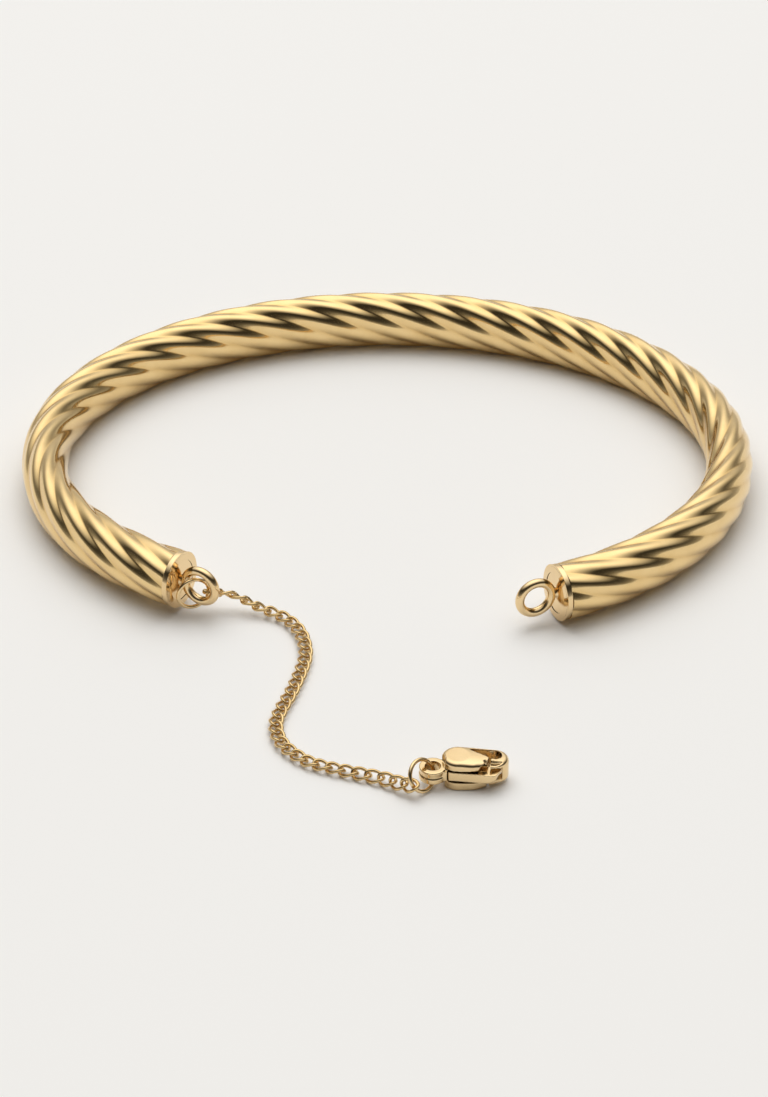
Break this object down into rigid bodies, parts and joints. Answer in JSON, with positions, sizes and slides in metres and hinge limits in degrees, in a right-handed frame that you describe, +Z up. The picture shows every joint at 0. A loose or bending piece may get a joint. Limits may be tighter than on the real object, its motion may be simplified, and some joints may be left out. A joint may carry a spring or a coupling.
{
  "type": "bangle",
  "caption": "Open oval bangle of hollow twisted tube with capped ends, upright wire eyelets, a curb safety chain and a lobster clasp with a sprung lever.",
  "frame": {"origin": "middle of the wrist opening, on the plane that the bangle lies on", "axes": "+Z up, square to the plane of the bangle; +X to the right and -Y out of the gap, seen from above with the gap nearest"},
  "size_m": [0.0661, 0.0757, 0.0056],
  "materials": {
    "tube_gold": "polished yellow gold plate",
    "cap_gold": "polished yellow gold plate",
    "ring_gold": "polished yellow gold plate",
    "chain_gold": "polished yellow gold plate",
    "clasp_gold": "polished yellow gold plate"
  },
  "bodies": {
    "bangle": {"twisted_tube": "tube_gold", "end_cap_right": "cap_gold", "end_cap_left": "cap_gold", "chain_ring": "ring_gold", "safety_chain": "chain_gold", "clasp_ring": "ring_gold", "clasp_body": "clasp_gold", "clasp_pin": "clasp_gold"},
    "lever": {"clasp_lever": "clasp_gold"}
  },
  "joints": [
    {"name": "lever_hinge", "type": "hinge", "parent": "bangle", "child": "lever", "pos_m": [0.0056, -0.0458, 0.00131], "axis": [0, 0, 1], "range_deg": [0, 20], "stiffness_Nm_per_rad": 0.002, "springref_deg": -20.05}
  ]
}
